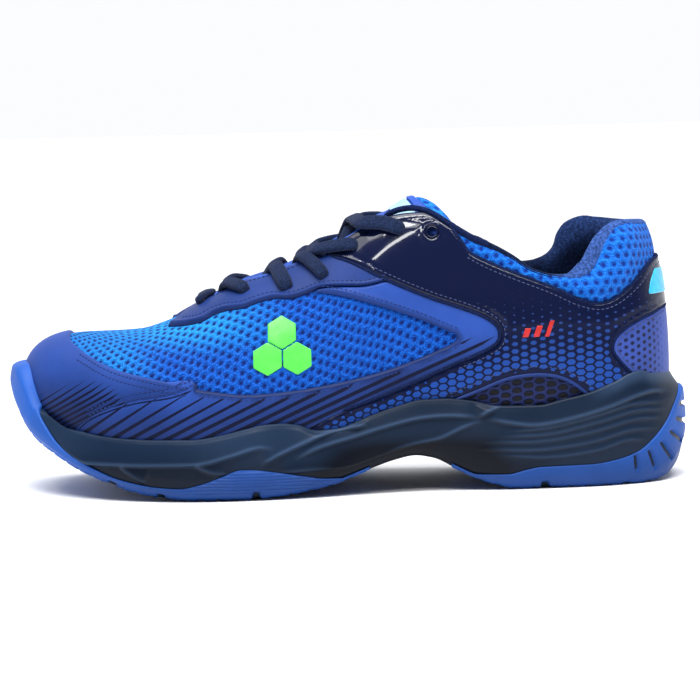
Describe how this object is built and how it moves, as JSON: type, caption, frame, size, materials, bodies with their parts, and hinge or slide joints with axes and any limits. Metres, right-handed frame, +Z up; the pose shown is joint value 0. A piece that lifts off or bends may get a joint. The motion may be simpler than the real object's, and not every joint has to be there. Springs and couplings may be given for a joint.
{
  "type": "court shoe",
  "caption": "Left indoor court shoe with a sculpted foam midsole, wrap-up rubber outsole, layered mesh and synthetic upper, laced throat, padded collar and a tongue hinged at its base.",
  "frame": {"origin": "on the ground plane, below the middle of the shoe's length and width", "axes": "+X towards the heel along the shoe's length, +Y towards the medial (inner) side, +Z up; the toe points along -X and the lateral side is -Y"},
  "size_m": [0.2935, 0.1057, 0.124],
  "materials": {
    "outsole_rubber": "matt moulded royal-blue rubber with fine ribs",
    "midsole_foam": "satin moulded dark slate-navy foam with sculpted waves",
    "shank_plate": "smooth black moulded plate",
    "cushion_gel": "soft translucent blue insert, hidden",
    "lasting_board": "stitched grey non-woven board, hidden",
    "sockliner_textile": "matt navy knit top cloth on foam",
    "upper_mesh": "bright royal-blue sandwich mesh with hexagonal holes",
    "quarter_textile": "navy textile under the saddle",
    "collar_mesh_textile": "bright-blue padded mesh",
    "blue_synthetic": "semi-matt indigo-blue synthetic with thin dark diagonal stripes and stitching",
    "navy_patent": "glossy dark-navy patent film fading to a printed blue honeycomb",
    "vent_mesh": "dark perforated panel",
    "stiffener": "thermoformed toe and heel stiffener, hidden",
    "lining_knit": "navy knit lining",
    "padding_foam": "open-cell padding foam, hidden",
    "tongue_mesh": "blue mesh below and blue synthetic on the padded top",
    "label_film": "plain pale label",
    "lace_woven": "woven dark-navy flat lace",
    "emblem_film": "raised bright-green film",
    "heel_film": "plain cyan film patch"
  },
  "bodies": {
    "shoe": {"forefoot_outsole": "outsole_rubber", "heel_outsole": "outsole_rubber", "midsole": "midsole_foam", "midfoot_shank": "shank_plate", "heel_cushion": "cushion_gel", "forefoot_cushion": "cushion_gel", "strobel_board": "lasting_board", "sockliner": "sockliner_textile", "vamp_mesh": "upper_mesh", "lateral_quarter": "quarter_textile", "medial_quarter": "quarter_textile", "collar_mesh": "collar_mesh_textile", "toe_guard": "blue_synthetic", "lateral_side_overlay": "blue_synthetic", "medial_side_overlay": "blue_synthetic", "eyestay_facing": "blue_synthetic", "lateral_saddle": "navy_patent", "medial_saddle": "navy_patent", "heel_panel": "blue_synthetic", "lateral_vent_panel": "vent_mesh", "medial_vent_panel": "vent_mesh", "toe_puff": "stiffener", "heel_counter": "stiffener", "vamp_lining": "lining_knit", "quarter_lining": "lining_knit", "collar_foam": "padding_foam", "collar_lining": "lining_knit", "shoelace": "lace_woven", "lateral_emblem": "emblem_film", "medial_emblem": "emblem_film", "heel_reflector": "heel_film"},
    "tongue": {"tongue_face": "tongue_mesh", "tongue_foam": "padding_foam", "tongue_lining": "lining_knit", "tongue_label": "label_film"}
  },
  "joints": [
    {"name": "tongue_base", "type": "hinge", "parent": "shoe", "child": "tongue", "pos_m": [-0.074, 0, 0.066], "axis": [0, 1, 0], "range_deg": [0, 12], "stiffness_Nm_per_rad": 0.1, "springref_deg": -20.05}
  ]
}
